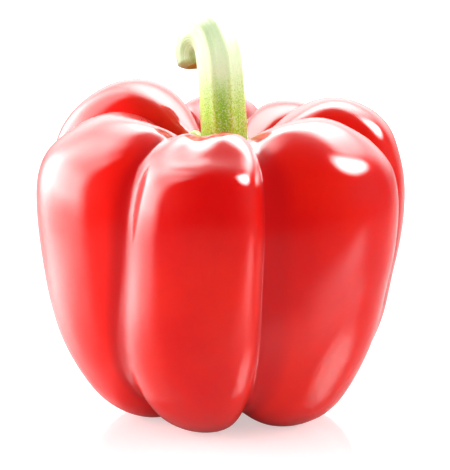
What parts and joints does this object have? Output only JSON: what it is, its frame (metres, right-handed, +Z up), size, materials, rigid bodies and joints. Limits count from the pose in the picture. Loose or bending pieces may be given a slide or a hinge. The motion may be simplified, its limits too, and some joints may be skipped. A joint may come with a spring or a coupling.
{
  "type": "bell pepper",
  "caption": "Ripe red bell pepper standing on the feet of its lobes, with deep creases, a hollow crown and a hooked green stem with its calyx.",
  "frame": {"origin": "on the ground under the middle of the fruit's box, at the height of the flat feet of the lobes", "axes": "+Z up, from the feet to the top of the stem's hook; -Y is the front; +X is to the right seen from the front"},
  "size_m": [0.0928, 0.095, 0.1014],
  "materials": {
    "skin": "smooth waxy red skin with a high natural gloss",
    "stem": "pale green ribbed stalk, satin, with a dry tan cut face"
  },
  "bodies": {
    "root": {"fruit": "skin", "stem": "stem"}
  },
  "joints": []
}
